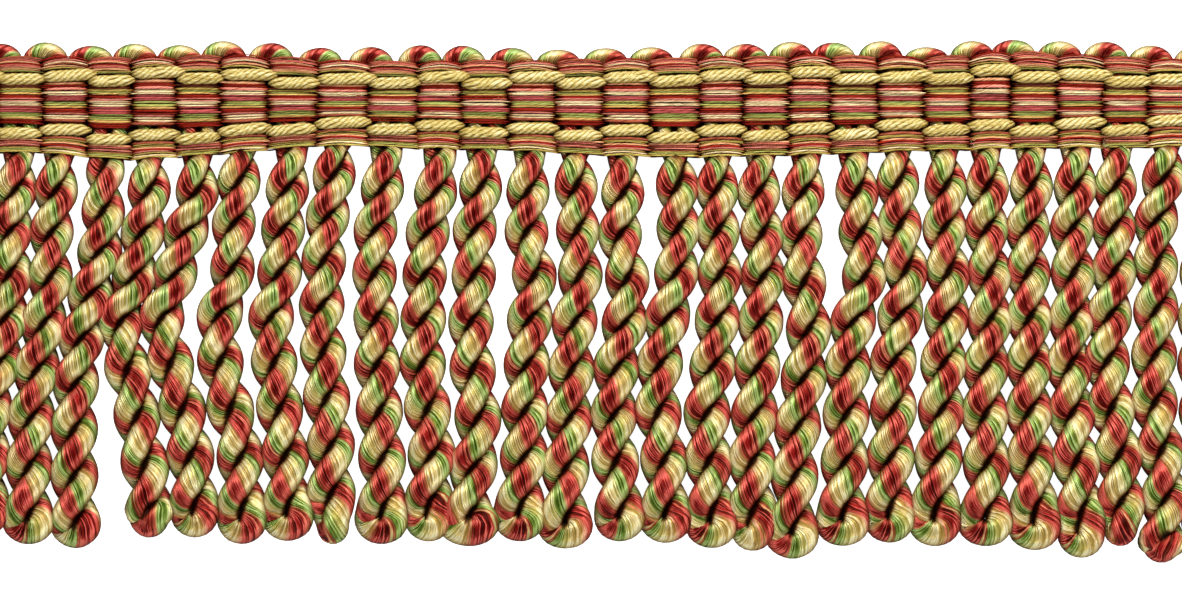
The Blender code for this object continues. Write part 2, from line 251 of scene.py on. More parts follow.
def sweepPart(tree, curve, width, height, sides):
    # a closed tube along each curve, with a UV map: U goes once round from below, V is the attribute "along"
    ring = output(tree, "GeometryNodeCurvePrimitiveCircle", {"Resolution": sides, "Radius": 0.5})
    size = output(tree, "ShaderNodeCombineXYZ", {0: width, 1: height, 2: 1.0})
    fromBelow = {"Geometry": ring, "Rotation": (0.0, 0.0, pi / 2)}
    turned = output(tree, "GeometryNodeTransform", fromBelow)
    profile = output(tree, "GeometryNodeTransform", {"Geometry": turned, "Scale": size})
    index = output(tree, "GeometryNodeInputIndex")
    profile = stored(tree, profile, "around", calc(tree, "DIVIDE", index, sides))
    tube = output(tree, "GeometryNodeCurveToMesh", {
        "Curve": curve, "Profile Curve": profile, "Scale": named(tree, "girth"), "Fill Caps": True,
    })

    # the last strip's far corners hold 0, the ring's start, and get 1, so that U doesn't run back
    around = named(tree, "around")
    onFace = output(tree, "GeometryNodeFieldOnDomain", {0: around}, domain="FACE")
    onCorner = output(tree, "GeometryNodeFieldOnDomain", {0: onFace}, domain="CORNER")
    isStart = calc(tree, "LESS_THAN", around, 0.001)
    isLastStrip = calc(tree, "GREATER_THAN", onCorner, 0.3)
    u = calc(tree, "ADD", around, calc(tree, "MULTIPLY", isStart, isLastStrip))
    place = output(tree, "ShaderNodeCombineXYZ", {0: u, 1: named(tree, "along"), 2: 0.0})
    return stored(tree, tube, "UVMap", place, "FLOAT2", "CORNER")


def finishPart(tree, geometry, material):
    smooth = output(tree, "GeometryNodeSetShadeSmooth", {"Geometry": geometry})
    real = output(tree, "GeometryNodeRealizeInstances", {"Geometry": smooth})
    dressed = output(tree, "GeometryNodeSetMaterial", {"Geometry": real, "Material": material})
    put(tree, "NodeGroupOutput", {0: dressed})
    return tree


def yarnTree():
    # one soft yarn swept along each line, with gentle lumps
    tree, given = newModifierTree("softYarn", (
        ("Width", "Float"), ("Height", "Float"), ("Sides", "Int"), ("Lumps", "Float"),
        ("Lump Scale", "Float"), ("Seed", "Int"), ("Material", "Material"),
    ))
    line = lineOf(tree, given["Geometry"])
    tube = sweepPart(tree, line, given["Width"], given["Height"], given["Sides"])
    lump = output(tree, "ShaderNodeTexNoise", {
        "Vector": position(tree), "W": given["Seed"], "Scale": given["Lump Scale"], "Detail": 1.0,
    }, noise_dimensions="4D")
    outward = output(tree, "GeometryNodeInputNormal")
    lumpy = moved(tree, tube, scaled(tree, outward, aroundZero(tree, lump, given["Lumps"])))
    return finishPart(tree, lumpy, given["Material"])


def cordTree():
    # several plies twisted round each line; "press" flattens the twist where the cord lies behind
    tree, given = newModifierTree("twistedCord", (
        ("Plies", "Int"), ("Ply Size", "Float"), ("Twist Radius", "Float"), ("Pitch", "Float"),
        ("Step", "Float"), ("Sides", "Int"), ("Uneven", "Float"), ("Uneven Scale", "Float"),
        ("Dark Within", "Float"), ("Lit Beyond", "Float"), ("Material", "Material"),
    ))
    line = lineOf(tree, given["Geometry"], given["Step"])
    length = put(tree, "GeometryNodeSplineParameter").outputs["Length"]
    tangent = output(tree, "GeometryNodeInputTangent")
    normal = output(tree, "GeometryNodeInputNormal")
    line = stored(tree, line, "run", length)
    line = stored(tree, line, "sideways", normal, "FLOAT_VECTOR")
    line = stored(tree, line, "ahead", tangent, "FLOAT_VECTOR")
    line = stored(tree, line, "core", position(tree), "FLOAT_VECTOR")
    uneven = noise(tree, position(tree), given["Uneven Scale"], 1.0)
    line = stored(tree, line, "wander", aroundZero(tree, uneven, given["Uneven"]))

    # each copy of the line is a ply that winds round it
    copied = {"Geometry": line, "Amount": given["Plies"]}
    copies = put(tree, "GeometryNodeDuplicateElements", copied, domain="SPLINE")
    share = calc(tree, "DIVIDE", copies.outputs["Duplicate Index"], given["Plies"])
    turns = calc(tree, "ADD", calc(tree, "DIVIDE", named(tree, "run"), given["Pitch"]), share)
    angle = calc(tree, "MULTIPLY", calc(tree, "ADD", turns, named(tree, "wander")), 2 * pi)
    side = named(tree, "sideways", "FLOAT_VECTOR")
    across = {0: named(tree, "ahead", "FLOAT_VECTOR"), 1: side}
    lift = output(tree, "ShaderNodeVectorMath", across, operation="CROSS_PRODUCT")
    reach = calc(tree, "MULTIPLY", given["Twist Radius"], named(tree, "girth"))
    rise = calc(tree, "MULTIPLY", calc(tree, "SINE", angle), reach)
    rise = calc(tree, "MULTIPLY", rise, named(tree, "press"))
    offset = added(
        tree,
        scaled(tree, side, calc(tree, "MULTIPLY", calc(tree, "COSINE", angle), reach)),
        scaled(tree, lift, rise),
    )
    plies = moved(tree, copies.outputs[0], offset)
    plies = upright(tree, stored(tree, plies, "along", turns))
    tube = sweepPart(tree, plies, given["Ply Size"], given["Ply Size"], given["Sides"])

    # painted shade: a ply is darker where it lies near the cord's core, and where the cord dives
    ends = {0: position(tree), 1: named(tree, "core", "FLOAT_VECTOR")}
    apart = put(tree, "ShaderNodeVectorMath", ends, operation="DISTANCE").outputs["Value"]
    reach = calc(tree, "ADD", given["Twist Radius"], calc(tree, "MULTIPLY", given["Ply Size"], 0.5))
    inward = output(tree, "ShaderNodeMapRange", {
        0: calc(tree, "DIVIDE", apart, calc(tree, "MULTIPLY", reach, named(tree, "girth"))),
        1: given["Dark Within"], 2: given["Lit Beyond"], 3: 1.0, 4: 0.0,
    }, interpolation_type="SMOOTHSTEP")
    paintedCordShade = calc(tree, "MAXIMUM", inward, named(tree, "dark"))
    return finishPart(tree, stored(tree, tube, "paintedShade", paintedCordShade), given["Material"])


def newObject(name, data):
    made = bpy.data.objects.new(name, data)
    bpy.context.scene.collection.objects.link(made)
    return made


def storeValues(mesh, name, values):
    kind, entry = ("FLOAT", "value") if values.ndim == 1 else ("FLOAT_COLOR", "color")
    layer = mesh.attributes.new(name, kind, "POINT")
    layer.data.foreach_set(entry, values.astype(np.float32).ravel())


def lineObject(name, lines):
    # lines: dictionaries with "points", and one value a point for each attribute
    mesh = bpy.data.meshes.new(name)
    points = np.concatenate([line["points"] for line in lines])
    links = []
    start = 0
    for line in lines:
        count = len(line["points"])
        links += [(start + k, start + k + 1) for k in range(count - 1)]
        start += count
    mesh.from_pydata((points * mm).tolist(), links, [])
    for key in lines[0]:
        if key != "points":
            storeValues(mesh, key, np.concatenate([line[key] for line in lines]))
    return newObject(name, mesh)


def runTree(piece, tree, values):
    modifier = piece.modifiers.new(tree.name, "NODES")
    modifier.node_group = tree
    for item in tree.interface.items_tree:
        if item.in_out == "INPUT" and item.name in values:
            modifier[item.identifier] = values[item.name]
    bpy.context.view_layer.update()
    evaluated = piece.evaluated_get(bpy.context.evaluated_depsgraph_get())
    mesh = bpy.data.meshes.new_from_object(evaluated)
    piece.modifiers.clear()
    piece.data = mesh
    print(piece.name, len(mesh.polygons), "faces")


def runYarn(piece, tree, yarn, seed, material):
    runTree(piece, tree, {
        "Width": mm, "Height": yarn["flatness"] * mm, "Sides": yarn["sides"], "Lumps": yarn["lumps"] * mm,
        "Lump Scale": yarn["lumpScale"], "Seed": seed, "Material": material,
    })


def dress(piece, slot, *nodes):
    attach(piece, "root")
    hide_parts(*nodes)
    return piece


# Materials

def ramp(tree, value, stops):
    # a stop is a place from 0 to 1 and its colour, or one number for a grey
    node = put(tree, "ShaderNodeValToRGB", {0: value})
    elements = node.color_ramp.elements
    while len(elements) < len(stops):
        elements.new(0.5)
    for element, (place, colour) in zip(elements, stops):
        element.position = place
        element.color = (*colour, 1.0) if isinstance(colour, tuple) else (colour, colour, colour, 1.0)
    return node.outputs[0]


def mixed(tree, share, first, second, blend="MIX"):
    colours = {0: share, 6: first, 7: second}
    return put(tree, "ShaderNodeMix", colours, data_type="RGBA", blend_type=blend).outputs[2]


def multiplied(tree, product, *colours):
    for colour in colours:
        product = mixed(tree, 1.0, product, colour, "MULTIPLY")
    return product


def finishSurface(tree, shader, finish, colour, height):
    normal = output(tree, "ShaderNodeBump", {"Height": height, **finish["bump"]})
    giveInputs(tree, shader, {"Base Color": colour, "Normal": normal, **finish["shader"]})


def attribute(tree, name, part="Fac"):
    return put(tree, "ShaderNodeAttribute", attribute_name=name).outputs[part]


def withPaintedShade(tree, finish, colour, fromTop):
    # painted shade where a yarn lies in a crease or dives, and painted shading that darkens its sides and on
    # the warps lightens its top
    paintedShadeRamp = ramp(tree, attribute(tree, "paintedShade"), finish["paintedShadeRamp"])
    return multiplied(tree, colour, paintedShadeRamp, ramp(tree, fromTop, finish["between"]))


def newMaterial(name):
    material = bpy.data.materials.new(name)
    material.use_nodes = True
    return material, material.node_tree, material.node_tree.nodes["Principled BSDF"]


def filamentGroup():
    # filaments that wind round a yarn: streaks that are fine across and long along them
    group, given = newTree("filaments", "ShaderNodeTree", (
        ("UV", "Vector"), ("Winds", "Float"), ("Fineness", "Float"), ("Broad Share", "Float"),
        ("Change", "Float"),
    ), (("Phase", "Float"), ("Broad", "Float"), ("Fine", "Float")))
    parts = put(group, "ShaderNodeSeparateXYZ", {0: given["UV"]}).outputs
    phase = calc(group, "ADD", calc(group, "MULTIPLY", parts[0], given["Winds"]), parts[1])
    angle = calc(group, "MULTIPLY", phase, 2 * pi)
    place = output(group, "ShaderNodeCombineXYZ", {
        0: calc(group, "COSINE", angle), 1: calc(group, "SINE", angle),
        2: calc(group, "MULTIPLY", parts[1], given["Change"]),
    })
    broad = noise(group, place, calc(group, "MULTIPLY", given["Fineness"], given["Broad Share"]), 1.0)
    fine = noise(group, place, given["Fineness"], 2.0)
    put(group, "NodeGroupOutput", {0: phase, 1: broad, 2: fine})
    return group


def newYarnMaterial(name, filaments, finish):
    material, tree, shader = newMaterial(name)
    uv = output(tree, "ShaderNodeUVMap", uv_map="UVMap")
    values = {"UV": uv, **finish["filaments"]}
    wound = put(tree, "ShaderNodeGroup", values, node_tree=filaments).outputs

    # 0 along the top of a yarn, 0.5 along its underside
    around = output(tree, "ShaderNodeSeparateXYZ", {0: uv})
    fromTop = calc(tree, "ABSOLUTE", calc(tree, "SUBTRACT", around, 0.5))
    return material, tree, shader, wound, fromTop


yarnFinish = {
    # times round the yarn, how many lie side by side, how wide the broad ones are, how soon they change
    "filaments": {"Winds": 1.0, "Fineness": 6.4, "Broad Share": 0.45, "Change": 0.5},
    "drift": 0.2,  # how unevenly they took the dye at a colour's ends
    "patches": 0.8,  # how much lighter or darker broad patches of them are
    "paintedSheenStrength": 0.22,  # painted sheen: how much lighter the yarn is a little to either side of its top, and darker on it
    "paintedSheen": ((0.00, 0.0), (0.04, 0.08), (0.09, 0.8), (0.14, 1.0), (0.20, 0.6)),
    "streaks": ((0.30, 0.0), (0.62, 1.0)),
    "bump": {"Strength": 1.0, "Distance": 0.0006},
    "shader": {
        "Roughness": 0.52, "Metallic": 0.35, "Specular IOR Level": 0.5,
        "Specular Tint": (0.42, 0.26, 0.14, 1.0), "Anisotropic": 0.85, "Anisotropic Rotation": 0.167,
    },
    # painted lit, middling and shaded copies of one run of the dye: cream, then red from 0.38, then green
    # from 0.78
    "lit": dyes(
        (0.00, 226, 230, 156), (0.05, 246, 242, 180), (0.12, 255, 248, 196), (0.32, 252, 232, 176),
        (0.38, 240, 172, 138), (0.43, 228, 96, 84), (0.60, 240, 114, 100), (0.72, 240, 118, 100),
        (0.78, 214, 166, 116), (0.83, 184, 208, 128), (0.95, 190, 212, 132), (1.00, 218, 226, 150),
    ),
    "middling": dyes(
        (0.00, 182, 178, 94), (0.06, 204, 188, 106), (0.12, 218, 194, 118), (0.34, 206, 166, 98),
        (0.39, 208, 102, 78), (0.48, 148, 18, 20), (0.68, 146, 20, 20), (0.77, 196, 88, 66),
        (0.83, 118, 144, 54), (0.95, 126, 152, 62), (1.00, 164, 170, 84),
    ),
    "shaded": dyes(
        (0.00, 134, 130, 50), (0.06, 166, 154, 70), (0.12, 184, 160, 80), (0.34, 160, 116, 54),
        (0.39, 136, 50, 30), (0.48, 64, 2, 3), (0.69, 62, 3, 3), (0.77, 110, 44, 24),
        (0.83, 52, 72, 12), (0.95, 60, 84, 18), (1.00, 112, 116, 40),
    ),
    # painted shade in the creases, then painted shading from the top to the sides
    "paintedShadeRamp": ((0.0, 1.0), (0.3, (0.74, 0.62, 0.5)), (0.6, (0.3, 0.17, 0.1)), (0.85, (0.04, 0.015, 0.01))),
    "between": ((0.11, 1.0), (0.16, (0.7, 0.64, 0.52)), (0.2, (0.42, 0.35, 0.22)), (0.25, (0.2, 0.15, 0.08))),
}


def yarnMaterial(filaments):
    material, tree, shader, wound, fromTop = newYarnMaterial("bandedSilkyYarn", filaments, yarnFinish)
    drift = aroundZero(tree, wound["Broad"], yarnFinish["drift"])
    phase = calc(tree, "FRACT", calc(tree, "ADD", wound["Phase"], drift))

    # each filament is painted shaded, middling or lit
    # painted sheen: lighter a little to either side of the yarn's top
    paintedSheen = aroundZero(tree, ramp(tree, fromTop, yarnFinish["paintedSheen"]), yarnFinish["paintedSheenStrength"])
    patches = aroundZero(tree, wound["Broad"], yarnFinish["patches"])
    streaks = calc(tree, "ADD", calc(tree, "ADD", wound["Fine"], paintedSheen), patches)
    doubled = calc(tree, "MULTIPLY", ramp(tree, streaks, yarnFinish["streaks"]), 2.0)
    lower = calc(tree, "MINIMUM", doubled, 1.0)
    upper = calc(tree, "MAXIMUM", calc(tree, "SUBTRACT", doubled, 1.0), 0.0)
    shaded, middling, lit = (ramp(tree, phase, yarnFinish[key]) for key in ("shaded", "middling", "lit"))
    colour = mixed(tree, upper, mixed(tree, lower, shaded, middling), lit)
    height = calc(tree, "ADD", wound["Fine"], wound["Broad"])
    finishSurface(tree, shader, yarnFinish, withPaintedShade(tree, yarnFinish, colour, fromTop), height)
    tangent = output(tree, "ShaderNodeTangent", direction_type="UV_MAP", uv_map="UVMap")
    tree.links.new(tangent, shader.inputs["Tangent"])
    return material


warpFinish = {
    "filaments": {"Winds": 1.0, "Fineness": 2.4, "Broad Share": 0.45, "Change": 0.4},
    "streaks": ((0.36, (0.36, 0.26, 0.2)), (0.5, (0.82, 0.76, 0.7)), (0.64, 1.25)),
    # painted shade where a warp dives, then painted shading: lighter on top, darker at the sides
    "paintedShadeRamp": (
        (0.0, 1.0), (0.15, (0.88, 0.74, 0.66)), (0.35, (0.58, 0.34, 0.24)), (0.6, (0.22, 0.06, 0.03)),
        (0.9, (0.03, 0.01, 0.01)),
    ),
    "between": ((0.06, (1.12, 1.12, 1.1)), (0.15, (0.8, 0.74, 0.7)), (0.24, (0.24, 0.14, 0.1))),
    "bump": {"Strength": 0.6, "Distance": 0.00015},
    "shader": {"Roughness": 0.5, "Specular IOR Level": 0.25, "Specular Tint": (0.36, 0.21, 0.12, 1.0)},
}


def warpMaterial(filaments):
    material, tree, shader, wound, fromTop = newYarnMaterial("stripedWarpSilk", filaments, warpFinish)
    streaks = ramp(tree, wound["Fine"], warpFinish["streaks"])
    colour = multiplied(tree, attribute(tree, "dye", "Color"), streaks)
    finishSurface(tree, shader, warpFinish, withPaintedShade(tree, warpFinish, colour, fromTop), wound["Fine"])
    return material


cordFinish = {
    "filaments": {"Winds": 1.0, "Fineness": 2.6, "Broad Share": 0.45, "Change": 4.0},
    "patches": 0.7,
    "gold": dyes((0.32, 170, 146, 68), (0.48, 209, 191, 113), (0.68, 234, 224, 176)),
    # painted shade near the core and where the cord dives, then painted shading at the sides
    "paintedShadeRamp": ((0.0, 1.0), (0.4, (0.72, 0.62, 0.4)), (1.0, (0.14, 0.09, 0.03))),
    "between": ((0.07, 1.0), (0.15, (0.84, 0.78, 0.62)), (0.22, (0.46, 0.36, 0.18))),
    "bump": {"Strength": 0.8, "Distance": 0.00015},
    "shader": {"Roughness": 0.6, "Specular IOR Level": 0.3},
}


def cordMaterial(filaments):
    material, tree, shader, wound, fromTop = newYarnMaterial("goldCord", filaments, cordFinish)
    patches = aroundZero(tree, wound["Broad"], cordFinish["patches"])
    colour = ramp(tree, calc(tree, "ADD", wound["Fine"], patches), cordFinish["gold"])
    finishSurface(tree, shader, cordFinish, withPaintedShade(tree, cordFinish, colour, fromTop), wound["Fine"])
    return material


shadeSheetFinish = {
    "ribs": {"Scale": 900.0, "Distortion": 2.0},
    # near-black brown: the sheet stands in for shade in the gaps
    "brown": dyes((0.0, 26, 10, 7), (1.0, 58, 26, 16)),
    "bump": {"Strength": 0.5, "Distance": 0.0002},
    "shader": {"Roughness": 0.8, "Specular IOR Level": 0.1},
}


def shadeSheetMaterial():
    material, tree, shader = newMaterial("paintedShadeSheet")
    place = put(tree, "ShaderNodeTexCoord").outputs["Object"]
    waves = {"Vector": place, **shadeSheetFinish["ribs"]}
    ribs = put(tree, "ShaderNodeTexWave", waves, bands_direction="Y").outputs["Fac"]
    finishSurface(tree, shader, shadeSheetFinish, ramp(tree, ribs, shadeSheetFinish["brown"]), ribs)
    return material


# Skirt: each strand is one yarn that goes down, turns in a loop and twists back up round itself

skirt = {
    "plySize": (3.6, 4.1),  # below the root and at the loop
    "twistRadius": (1.48, 1.72),
    "rootShare": 0.8,  # how much of that they are where they leave the heading
    "rootOpens": 3.0,
    "rootLevel": 1.66,
    "rootHidden": 5.0,  # how far up into the heading the yarn goes
    "rootBend": 4.0,  # over this length it moves to the strand's own line
    "riseStart": 1.0,  # how far above the heading's foot it starts to rise
    "risesIn": 5.0,
    "firstHalfTurn": 7.4,
    "halfTurns": 8,
    "twistPower": 1.06,
    "longStrand": 26,  # its twist goes on for half a turn more
    "crossedStrand": 3,  # its plies cross once more at the root
    "loopSize": (4.25, 4.8),  # the yarn is thickest in the loop, and closes the eye
    "loopWider": 0.25,
    "loopReach": 1.85,
    "loopTilt": 0.5,
    "loopHeight": 1.5,
    "loopOpens": (1.0, 1.6),  # from how far above the eye, and in how much more than from eye to turn
    "loopSettles": (2.0, 5.0),
    "bandTurns": {"fourth": 3.5, "fifth": 4.5, "seventh": 6.5, "eighth": 7.5},
    "bandLength": 6.35,  # one run of cream, red and green along the yarn
    "topBandLength": 6.15,
    "step": 0.42,
    "loopPoints": 13,
    "sides": 18,
    "flatness": 1.0,
    "lumps": 0.22,
    "lumpScale": 420.0,
    "shadow": 1.6,  # how far from the other ply the painted shadow in a groove ends
    "blackTo": 0.2,  # the share of that where it is black
    "shadowNarrows": 0.85,
    "shadowReach": 1.7,
    "searched": 12,
    "farApart": 9.0,
    "clear": 0.06,  # lifts it off the floor, so that no lump goes through
}


def lengthsAlong(points):
    return np.concatenate([[0.0], np.cumsum(np.linalg.norm(np.diff(points, axis=0), axis=1))])


def bandPlaces(number, run, angle, downCount):
    # where along the yarn its run of colours is known, and how far the run has got there
    band = bandRows[number]
    onDown, onUp = ("fourth", "eighth"), ("seventh", "fifth")
    if number == skirt["crossedStrand"]:
        onDown, onUp = onUp[::-1], onDown[::-1]
    crossing = {key: np.argmax(angle >= turn * pi) for key, turn in skirt["bandTurns"].items()}
    places = [run[crossing[key]] for key in onDown] + [run[downCount - 1]]
    places += [run[len(run) - 1 - crossing[key]] for key in onUp]
    phases = [getattr(band, key) for key in (*onDown, "loop", *onUp)]

    # it is a little longer or shorter between two such places, to take in a whole number of runs
    counts = [phases[0]]
    for k in range(4):
        change = phases[k + 1] - phases[k]
        runs = round((places[k + 1] - places[k]) / skirt["bandLength"] - change)
        counts.append(counts[k] + runs + change)
    places = [0.0, *places, run[-1]]
    start = counts[0] - places[1] / skirt["topBandLength"]
    end = counts[-1] + (run[-1] - places[-2]) / skirt["topBandLength"]
    return places, [start, *counts, end]


def strandLine(number):
    row = strandRows[number]
    turns = skirt["halfTurns"] + (number == skirt["longStrand"])
    loopSize = min(max(row.loop, skirt["loopSize"][0]), skirt["loopSize"][1])
    plyRadius = loopSize / 2
    across = row.loop + skirt["loopWider"] - plyRadius
    reach = max(across / cos(skirt["loopTilt"]), skirt["loopReach"])
    tilt = np.arccos(np.clip(across / reach, 0.0, 1.0))
    turnAt = row.drop - plyRadius - skirt["loopHeight"]
    inside = -mix(feet[number + 1], feet[max(number, 1)], 0.5)
    drops = np.arange(inside - skirt["rootHidden"], turnAt, skirt["step"])
    bend = np.linspace(0.0, pi / 2, skirt["loopPoints"] // 2 + 1)
    down = np.concatenate([drops, turnAt + skirt["loopHeight"] * np.sin(bend)])
    inLoop = np.concatenate([np.zeros(len(drops)), bend])

    # the middle line of the whole strand, through its row's first ten values, d8 to tip
    places = (*stations, row.drop)
    offsets = row[:len(places)]
    begun = ease((down - inside + skirt["rootBend"]) / skirt["rootBend"])
    middle = middles[number] + smoothLine(places, offsets, down) * begun
    slope = np.gradient(middle, np.maximum.accumulate(down + np.arange(len(down)) * 1e-6))
    lean = 1.0 / np.hypot(1.0, slope)

    # its twist
    early = (down - row.first + skirt["firstHalfTurn"]) / skirt["firstHalfTurn"]
    twisted = np.clip((down - row.first) / (row.eye - row.first), 0.0, 1.0)
    late = 1 + (turns - 1) * twisted ** (1 / skirt["twistPower"])
    angle = pi * np.where(down < row.first, np.clip(early, 0.0, 1.0), late)
    opens, wider = skirt["loopOpens"]
    past = ease((down - row.eye + opens) / (turnAt - row.eye + wider))
    angle = angle + tilt * past

    # how far each ply lies from the middle line, its thickness and its height
    grown = np.clip((down - inside) / (row.eye - inside), 0.0, 1.0)
    radius = mix(*skirt["twistRadius"], grown)
    gather = mix(skirt["rootShare"], 1.0, ease((down - inside) / skirt["rootOpens"]))
    spread = mix(radius, reach, past) * np.cos(inLoop)
    spread = spread * gather
    girth = mix(*skirt["plySize"], grown) * gather
    girth = mix(girth, loopSize, past)
    risen = ease((down - inside + skirt["riseStart"]) / skirt["risesIn"])
    before, length = skirt["loopSettles"]
    settled = ease((down - row.eye + before) / length)
    level = mix(girth / 2 + radius, plyRadius + reach * np.sin(tilt), settled)
    level = mix(skirt["rootLevel"], level + skirt["clear"], risen)

    def ply(side):
        across = side * spread * np.cos(angle)
        return np.stack([
            middle + across * lean,
            -down + across * slope * lean,
            level + side * spread * np.sin(angle) * risen,
        ], 1)

    firstSide = 1 if number == skirt["crossedStrand"] else -1
    points = np.concatenate([ply(firstSide), ply(-firstSide)[::-1][1:]])
    run = lengthsAlong(points)
    return {
        "points": points,
        "girth": np.concatenate([girth, girth[::-1][1:]]),
        "along": np.interp(run, *bandPlaces(number, run, angle, len(down))) - 0.5,
    }


def verticesOf(mesh):
    points = np.empty(len(mesh.vertices) * 3, np.float32)
    mesh.vertices.foreach_get("co", points)
    return points.reshape(-1, 3) / mm


def shadeGrooves(piece, lines):
    # painted shadow: a yarn is darker where its other ply is near, most of all along the strand's middle
    sides = skirt["sides"]
    points = verticesOf(piece.data)
    paintedGrooveShades = []
    start = 0
    for line in lines:
        centres = line["points"]
        count = len(centres)
        rings = points[start:start + count * sides].reshape(count, sides, 3)
        start += count * sides
        own = np.arange(count)
        gap = np.full((count, sides), skirt["farApart"])
        for step in range(-skirt["searched"], skirt["searched"] + 1):
            other = count - 1 - own + step
            isThere = (other >= 0) & (other < count) & (np.abs(other - own) > skirt["searched"])
            other = np.clip(other, 0, count - 1)
            apart = np.linalg.norm(rings - centres[other][:, None, :], axis=2)
            apart = apart - line["girth"][other][:, None] / 2
            gap = np.where(isThere[:, None], np.minimum(gap, apart), gap)
        middle = (centres + centres[::-1]) / 2
        aside = np.abs(rings[:, :, 0] - middle[:, None, 0])
        width = skirt["shadow"] * (1.0 - skirt["shadowNarrows"] * ease(aside / skirt["shadowReach"]))
        paintedGrooveShades.append(1.0 - ease((gap - skirt["blackTo"] * width) / width))
    storeValues(piece.data, "paintedShade", np.concatenate([paintedShade.ravel() for paintedShade in paintedGrooveShades]))


def makeSkirt(tree, material):
    half = columnCount // 2
    for name, first, last in (("skirtLeft", 0, half), ("skirtRight", half, columnCount)):
        lines = [strandLine(number) for number in range(first, last)]
        piece = lineObject(name, lines)
        runYarn(piece, tree, skirt, first, material)
        shadeGrooves(piece, lines)
        dress(piece, "bullion_yarn", "skirt")
    print("skirt made")


# Scallops: the yarn turns over the heading's top edge from one column to the next

scallop = {
    "size": 3.0,
    "halfWidth": 2.05,
    "sink": 0.5,
    "level": 1.75,
    "legs": (5.0, 0.4),  # how far down inside the heading each leg starts and ends
    "legPoints": 9,
    "shift": 0.4,
    "points": 15,
    "seed": 3,
    # painted shade just above the heading's top edge: how dark, and how far up it reaches
    "paintedShade": 0.55,
    "shadow": 1.1,
}


def scallopLine(number):
    x = edges[number + 1] + scallop["shift"]
    top = tops[number + 1]
    rise = columnRows[number].scallop + scallop["sink"] - scallop["size"] / 2
    bend = np.linspace(pi, 0.0, scallop["points"])
    level = np.full(len(bend), scallop["level"])
    across = x + scallop["halfWidth"] * np.cos(bend)
    arc = np.stack([across, top - scallop["sink"] + rise * np.sin(bend), level], 1)
    leg = np.zeros((scallop["legPoints"], 3))
    leg[:, 1] = -np.linspace(*scallop["legs"], scallop["legPoints"])
    points = np.concatenate([arc[0] + leg, arc, arc[-1] + leg[::-1]])
    run = lengthsAlong(points)
    return {
        "points": points,
        "girth": np.full(len(points), scallop["size"]),
        "along": (run - run[-1] / 2) / skirt["topBandLength"] + bandRows[number].turn - 0.5,
    }


def makeScallops(tree, material):
    piece = lineObject("scallopYarn", [scallopLine(number) for number in range(columnCount - 1)])
    runYarn(piece, tree, skirt, scallop["seed"], material)
    points = verticesOf(piece.data)
    # painted shade, darker just above the heading's top edge
    above = points[:, 1] - bandEdges(points[:, 0])[0]
    storeValues(piece.data, "paintedShade", scallop["paintedShade"] * (1.0 - ease(above / scallop["shadow"])))
    dress(piece, "bullion_yarn", "scallops")
    print("scallops made")


# Heading: two sets of fine warps take turns over the columns of weft yarn

heading = {
    # a pair is for the inner stripes, between the two rows of cord, and for the outer ones
    "front": (3.3, 3.55),
    "crossing": (2.6, 2.8),
    "back": 0.25,
    "middle": 0.5,  # the line that stays straight between the two rows of cord
    "ribPower": 2.3,
    "fullness": 1.25,  # how flat the floats on the back lie
    "lens": (0.6, 0.8),  # a float's width where it dives, as a share of its width in the middle
    "lensStart": 0.1,
    "lensLength": 1.7,  # how far from its column's side a float is fully wide
    "paintedShade": (0.52, 0.4),  # how dark the painted shade is where it dives
    "shade": ((0.4, 1.5), (0.3, 1.2)),  # how far from there the painted shade reaches, from the least to the most
    "endShade": 2.0,  # no painted shade as near as this to the cut ends
    "overlap": (1.05, 1.0),
    "bend": 0.1,
    "bulge": 0.35,  # how much higher the top edge lies in the middle of a column
    "arches": (0.3, 0.05),  # the same for the outer stripes of each set
    "stagger": 0.42,  # how far to either side of a column's side a yarn may dive
    "unevenDye": 0.32,  # how much lighter or darker each yarn and float is
    # painted light: the foot stripes lighter, against the lower cord's shadow
    "paintedFootLight": 1.15,
    "grainLength": 4.0,
    "grainShift": (3.7, 5.0),  # from stripe to stripe and from set to set
    "overShares": [0.0, 0.03, 0.08, 0.15, 0.27, 0.5, 0.73, 0.85, 0.92, 0.97],
    "underShares": [0.0, 0.06, 0.2, 0.8, 0.94],
    "sides": 6,
    "flatness": 0.8,
    "lumps": 0.05,
    "lumpScale": 900.0,
    "lumpSeed": 5,
    "seed": 11,
    "shadeSheetInset": 0.12,
    "shadeSheetLevels": (1.3, 1.6),
    "depth": 14.2,  # the width of the dark sheet as it lies flat
}
warpDyes = {
    "mauve": dye(168, 76, 76), "green": dye(148, 156, 82), "gold": dye(220, 178, 104),
    "darkRed": dye(138, 30, 20), "pink": dye(198, 120, 106), "cream": dye(226, 206, 162),
    "brown": dye(142, 74, 54), "olive": dye(160, 142, 72), "peach": dye(208, 152, 112),
    "goldOlive": dye(180, 164, 84), "salmon": dye(188, 98, 86),
}
stripeRow = namedtuple("stripeRow", "zone colour place width yarns")


def chart(**zones):
    # one row for each stripe: colour, its place and width in hundredths, and number of yarns
    # inner stripes: place and width are shares of the way from the middle line to the upper or lower cord
    # top and foot stripes: shares of the way from the cord to the band's edge
    return [
        stripeRow(zone, colour, place / 100, width / 100, yarns)
        for zone, rows in zones.items() for colour, place, width, yarns in rows
    ]


